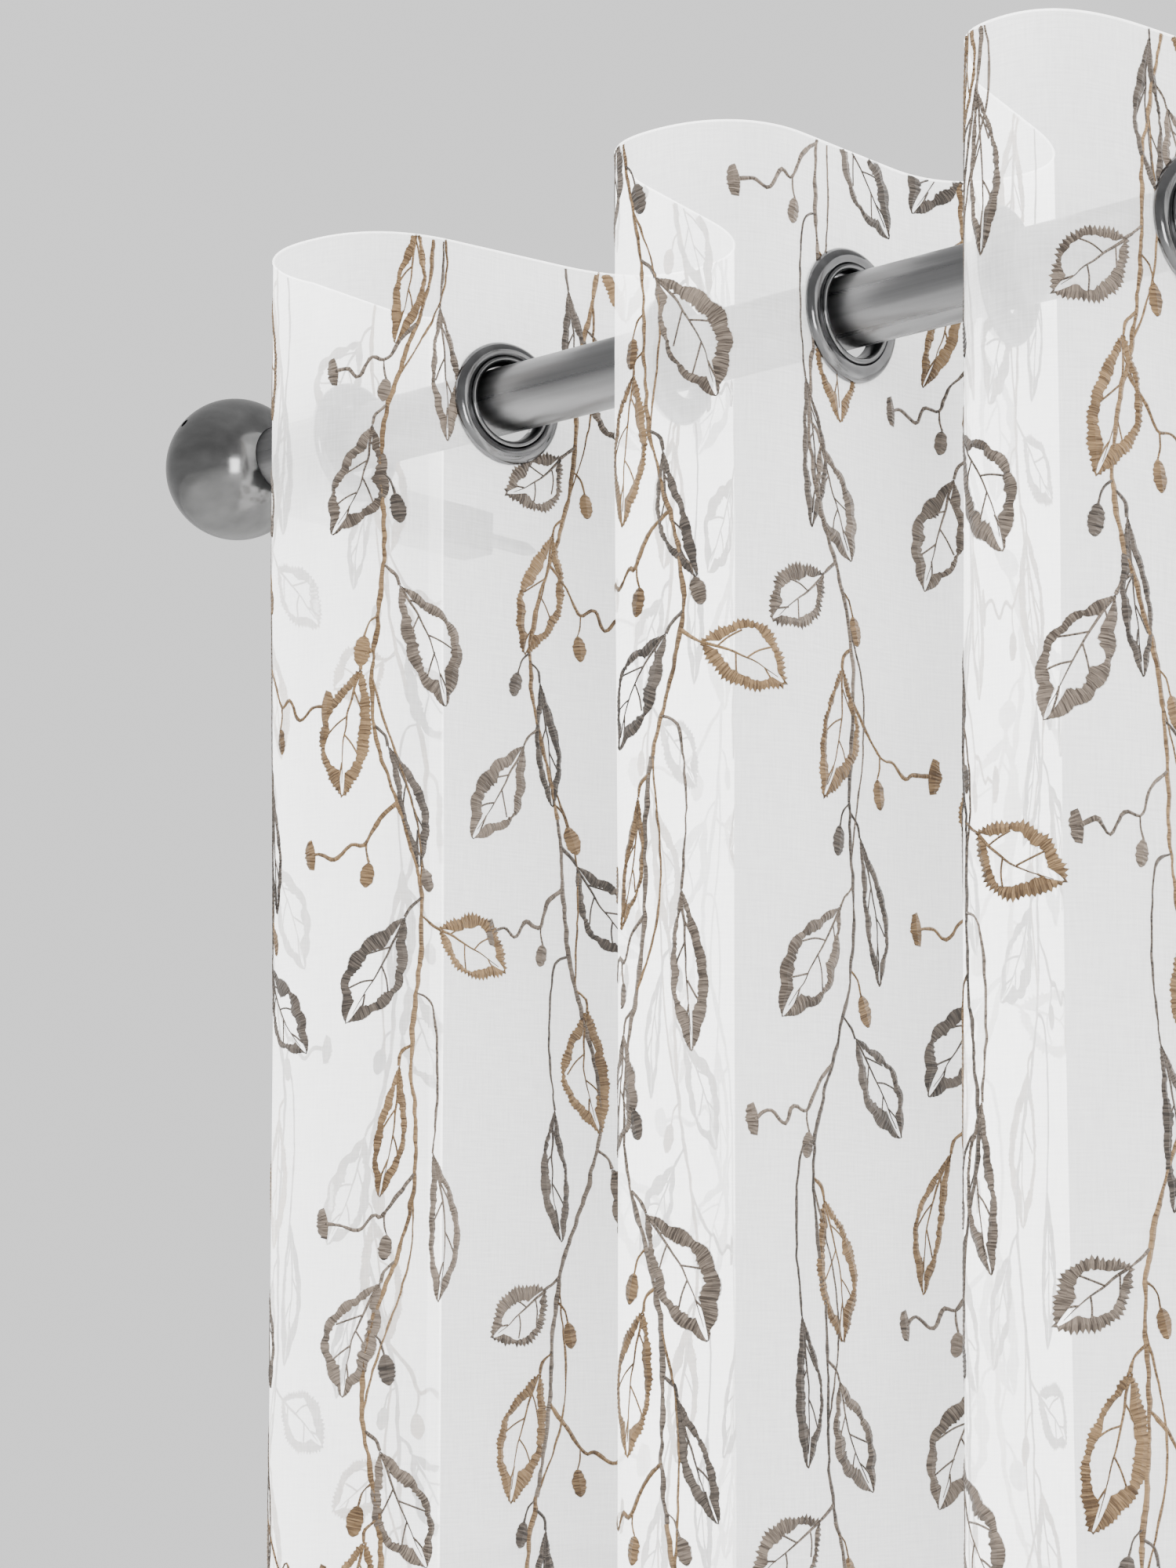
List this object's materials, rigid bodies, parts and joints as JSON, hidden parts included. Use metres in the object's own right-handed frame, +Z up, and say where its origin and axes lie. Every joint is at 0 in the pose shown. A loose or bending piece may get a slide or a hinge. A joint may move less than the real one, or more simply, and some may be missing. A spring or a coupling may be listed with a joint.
{
  "type": "sheer eyelet curtains on a pole",
  "caption": "Pair of sheer voile curtains with embroidered leaf vines, on steel eyelets that slide along a round steel pole with ball finials and square-bar wall brackets.",
  "frame": {"origin": "on the wall plane, midway between the two wall studs", "axes": "+X along the pole to the right as seen from the room, +Y into the wall, +Z up"},
  "size_m": [1.78, 0.259, 1.37],
  "materials": {
    "satin_steel": "satin, drawn along its length",
    "polished_steel": "satin polished",
    "eyelet_steel": "polished, spun",
    "screw_steel": "plain",
    "sheer_voile": "sheer white voile",
    "embroidery_gold": "satin-stitched thread",
    "embroidery_taupe": "satin-stitched thread",
    "embroidery_grey": "satin-stitched thread"
  },
  "bodies": {
    "pole_and_brackets": {"pole": "satin_steel", "pole_screws": "screw_steel", "wall_studs": "screw_steel", "bracket_left": "satin_steel", "bracket_right": "satin_steel"},
    "left_finial": {"finial_left": "polished_steel", "grub_screw_left": "screw_steel"},
    "left_eyelet_1": {"cloth_pleat_left_1": "sheer_voile", "eyelet_front_left_1": "eyelet_steel", "eyelet_back_left_1": "eyelet_steel"},
    "left_eyelet_2": {"cloth_pleat_left_2": "sheer_voile", "eyelet_front_left_2": "eyelet_steel", "eyelet_back_left_2": "eyelet_steel"},
    "left_eyelet_3": {"cloth_pleat_left_3": "sheer_voile", "eyelet_front_left_3": "eyelet_steel", "eyelet_back_left_3": "eyelet_steel"},
    "left_eyelet_4": {"cloth_pleat_left_4": "sheer_voile", "eyelet_front_left_4": "eyelet_steel", "eyelet_back_left_4": "eyelet_steel"},
    "left_eyelet_5": {"cloth_pleat_left_5": "sheer_voile", "eyelet_front_left_5": "eyelet_steel", "eyelet_back_left_5": "eyelet_steel"},
    "left_eyelet_6": {"cloth_pleat_left_6": "sheer_voile", "eyelet_front_left_6": "eyelet_steel", "eyelet_back_left_6": "eyelet_steel"},
    "left_eyelet_7": {"cloth_pleat_left_7": "sheer_voile", "eyelet_front_left_7": "eyelet_steel", "eyelet_back_left_7": "eyelet_steel"},
    "left_eyelet_8": {"cloth_pleat_left_8": "sheer_voile", "eyelet_front_left_8": "eyelet_steel", "eyelet_back_left_8": "eyelet_steel"},
    "right_finial": {"finial_right": "polished_steel", "grub_screw_right": "screw_steel"},
    "right_eyelet_1": {"cloth_pleat_right_1": "sheer_voile", "eyelet_front_right_1": "eyelet_steel", "eyelet_back_right_1": "eyelet_steel"},
    "right_eyelet_2": {"cloth_pleat_right_2": "sheer_voile", "eyelet_front_right_2": "eyelet_steel", "eyelet_back_right_2": "eyelet_steel"},
    "right_eyelet_3": {"cloth_pleat_right_3": "sheer_voile", "eyelet_front_right_3": "eyelet_steel", "eyelet_back_right_3": "eyelet_steel"},
    "right_eyelet_4": {"cloth_pleat_right_4": "sheer_voile", "eyelet_front_right_4": "eyelet_steel", "eyelet_back_right_4": "eyelet_steel"},
    "right_eyelet_5": {"cloth_pleat_right_5": "sheer_voile", "eyelet_front_right_5": "eyelet_steel", "eyelet_back_right_5": "eyelet_steel"},
    "right_eyelet_6": {"cloth_pleat_right_6": "sheer_voile", "eyelet_front_right_6": "eyelet_steel", "eyelet_back_right_6": "eyelet_steel"},
    "right_eyelet_7": {"cloth_pleat_right_7": "sheer_voile", "eyelet_front_right_7": "eyelet_steel", "eyelet_back_right_7": "eyelet_steel"},
    "right_eyelet_8": {"cloth_pleat_right_8": "sheer_voile", "eyelet_front_right_8": "eyelet_steel", "eyelet_back_right_8": "eyelet_steel"}
  },
  "joints": [
    {"name": "left_finial_pull_off", "type": "slide", "parent": "pole_and_brackets", "child": "left_finial", "axis": [1, 0, 0], "range_m": [-0.06, 0]},
    {"name": "left_draw", "type": "slide", "parent": "pole_and_brackets", "child": "left_eyelet_8", "axis": [1, 0, 0], "range_m": [-0.442, 0]},
    {"name": "left_fold_7", "type": "slide", "parent": "left_eyelet_8", "child": "left_eyelet_7", "axis": [1, 0, 0], "range_m": [0, 0.0585]},
    {"name": "left_fold_6", "type": "slide", "parent": "left_eyelet_7", "child": "left_eyelet_6", "axis": [1, 0, 0], "range_m": [0, 0.0615]},
    {"name": "left_fold_5", "type": "slide", "parent": "left_eyelet_6", "child": "left_eyelet_5", "axis": [1, 0, 0], "range_m": [0, 0.0625]},
    {"name": "left_fold_4", "type": "slide", "parent": "left_eyelet_5", "child": "left_eyelet_4", "axis": [1, 0, 0], "range_m": [0, 0.0485]},
    {"name": "left_fold_3", "type": "slide", "parent": "left_eyelet_4", "child": "left_eyelet_3", "axis": [1, 0, 0], "range_m": [0, 0.0665]},
    {"name": "left_fold_2", "type": "slide", "parent": "left_eyelet_3", "child": "left_eyelet_2", "axis": [1, 0, 0], "range_m": [0, 0.0755]},
    {"name": "left_fold_1", "type": "slide", "parent": "left_eyelet_2", "child": "left_eyelet_1", "axis": [1, 0, 0], "range_m": [0, 0.0725]},
    {"name": "right_finial_pull_off", "type": "slide", "parent": "pole_and_brackets", "child": "right_finial", "axis": [1, 0, 0], "range_m": [0, 0.06]},
    {"name": "right_draw", "type": "slide", "parent": "pole_and_brackets", "child": "right_eyelet_8", "axis": [1, 0, 0], "range_m": [0, 0.442]},
    {"name": "right_fold_7", "type": "slide", "parent": "right_eyelet_8", "child": "right_eyelet_7", "axis": [1, 0, 0], "range_m": [-0.0585, 0]},
    {"name": "right_fold_6", "type": "slide", "parent": "right_eyelet_7", "child": "right_eyelet_6", "axis": [1, 0, 0], "range_m": [-0.0615, 0]},
    {"name": "right_fold_5", "type": "slide", "parent": "right_eyelet_6", "child": "right_eyelet_5", "axis": [1, 0, 0], "range_m": [-0.0625, 0]},
    {"name": "right_fold_4", "type": "slide", "parent": "right_eyelet_5", "child": "right_eyelet_4", "axis": [1, 0, 0], "range_m": [-0.0485, 0]},
    {"name": "right_fold_3", "type": "slide", "parent": "right_eyelet_4", "child": "right_eyelet_3", "axis": [1, 0, 0], "range_m": [-0.0665, 0]},
    {"name": "right_fold_2", "type": "slide", "parent": "right_eyelet_3", "child": "right_eyelet_2", "axis": [1, 0, 0], "range_m": [-0.0755, 0]},
    {"name": "right_fold_1", "type": "slide", "parent": "right_eyelet_2", "child": "right_eyelet_1", "axis": [1, 0, 0], "range_m": [-0.0725, 0]}
  ],
  "couplings": [
    {"joint": "left_fold_7", "follows": "left_draw", "ratio": -0.13122},
    {"joint": "left_fold_6", "follows": "left_draw", "ratio": -0.13801},
    {"joint": "left_fold_5", "follows": "left_draw", "ratio": -0.14027},
    {"joint": "left_fold_4", "follows": "left_draw", "ratio": -0.1086},
    {"joint": "left_fold_3", "follows": "left_draw", "ratio": -0.14932},
    {"joint": "left_fold_2", "follows": "left_draw", "ratio": -0.16968},
    {"joint": "left_fold_1", "follows": "left_draw", "ratio": -0.1629},
    {"joint": "right_fold_7", "follows": "right_draw", "ratio": -0.13122},
    {"joint": "right_fold_6", "follows": "right_draw", "ratio": -0.13801},
    {"joint": "right_fold_5", "follows": "right_draw", "ratio": -0.14027},
    {"joint": "right_fold_4", "follows": "right_draw", "ratio": -0.1086},
    {"joint": "right_fold_3", "follows": "right_draw", "ratio": -0.14932},
    {"joint": "right_fold_2", "follows": "right_draw", "ratio": -0.16968},
    {"joint": "right_fold_1", "follows": "right_draw", "ratio": -0.1629}
  ]
}
